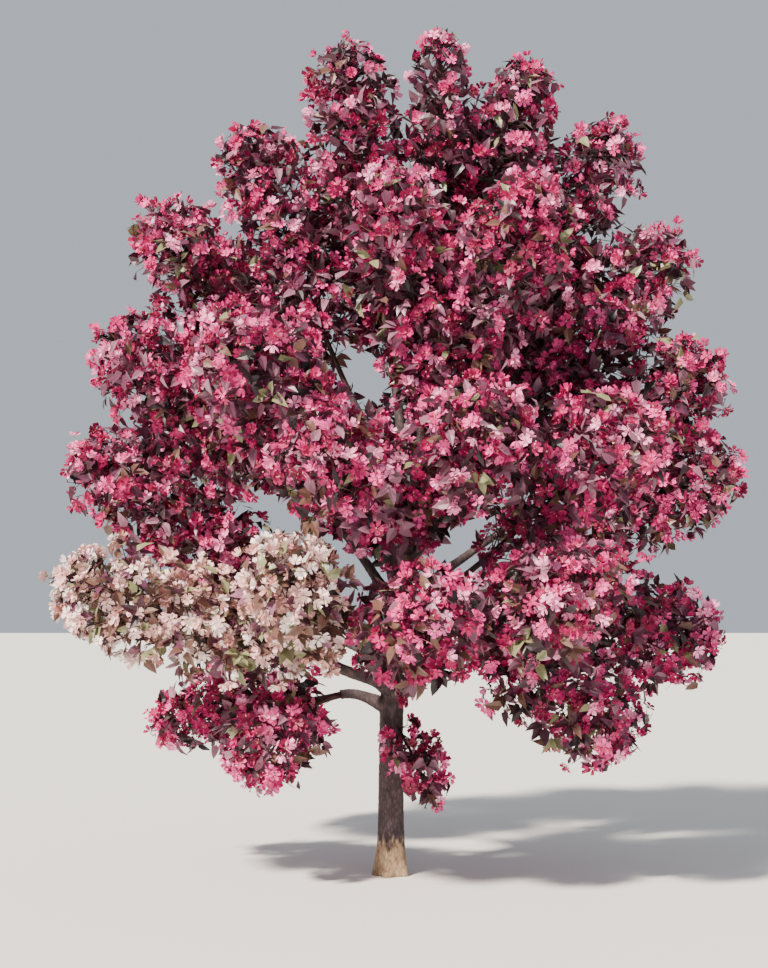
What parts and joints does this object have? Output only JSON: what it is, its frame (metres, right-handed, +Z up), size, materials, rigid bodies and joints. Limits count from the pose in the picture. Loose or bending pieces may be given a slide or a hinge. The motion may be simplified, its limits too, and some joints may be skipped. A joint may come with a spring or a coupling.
{
  "type": "crabapple tree",
  "caption": "Young purple-leaved crabapple tree in full blossom: upswept crown of dark leaves with magenta and pale pink flowers over a short bare trunk.",
  "frame": {"origin": "middle of the flat cut under the trunk, at ground level", "axes": "+Z up, along the trunk; the front that the picture shows faces -Y, and +X is on its right"},
  "size_m": [2.7849, 2.4036, 3.5],
  "materials": {
    "bark": "rough grey-brown bark",
    "blossom_and_leaf": "magenta blossom and dark purple leaves, matt to soft sheen",
    "pale_blossom_and_leaf": "blush-pink blossom and bronze leaves, matt"
  },
  "bodies": {
    "root": {"trunk": "bark", "bough_leader_left": "bark", "bough_leader_centre": "bark", "bough_leader_right": "bark", "bough_upper_left": "bark", "bough_upper_right": "bark", "bough_left_shoulder": "bark", "bough_left_flank": "bark", "bough_left_front": "bark", "bough_upper_front": "bark", "bough_right_shoulder": "bark", "bough_right_flank": "bark", "bough_right_front": "bark", "bough_centre": "bark", "bough_left_low": "bark", "bough_pale": "bark", "bough_low_left": "bark", "bough_right_tip": "bark", "bough_right_low": "bark", "bough_bottom_right": "bark", "bough_back_left": "bark", "bough_back_right": "bark", "bough_back_centre": "bark", "bough_back_low_left": "bark", "bough_back_low_right": "bark", "mass_top_left": "blossom_and_leaf", "mass_top_centre": "blossom_and_leaf", "mass_back_top": "blossom_and_leaf", "mass_back_high_left": "blossom_and_leaf", "mass_top_right": "blossom_and_leaf", "mass_upper_right": "blossom_and_leaf", "mass_upper_front_right": "blossom_and_leaf", "mass_upper_front": "blossom_and_leaf", "mass_upper_left": "blossom_and_leaf", "mass_left_shoulder": "blossom_and_leaf", "mass_left_flank": "blossom_and_leaf", "mass_left_front": "blossom_and_leaf", "mass_right_shoulder": "blossom_and_leaf", "mass_right_flank": "blossom_and_leaf", "mass_right_front": "blossom_and_leaf", "mass_centre": "blossom_and_leaf", "mass_centre_left": "blossom_and_leaf", "mass_left_low": "blossom_and_leaf", "mass_pale_inner": "pale_blossom_and_leaf", "mass_pale_outer": "pale_blossom_and_leaf", "mass_low_left": "blossom_and_leaf", "mass_bottom_left": "blossom_and_leaf", "mass_right_tip": "blossom_and_leaf", "mass_right_low": "blossom_and_leaf", "mass_right_front_low": "blossom_and_leaf", "mass_bottom_right": "blossom_and_leaf", "mass_front_low": "blossom_and_leaf", "mass_trunk_spray": "blossom_and_leaf", "mass_back_upper_left": "blossom_and_leaf", "mass_back_left": "blossom_and_leaf", "mass_back_upper_right": "blossom_and_leaf", "mass_back_right": "blossom_and_leaf", "mass_back_centre": "blossom_and_leaf", "mass_back_low_left": "blossom_and_leaf", "mass_back_low_right": "blossom_and_leaf"}
  },
  "joints": []
}
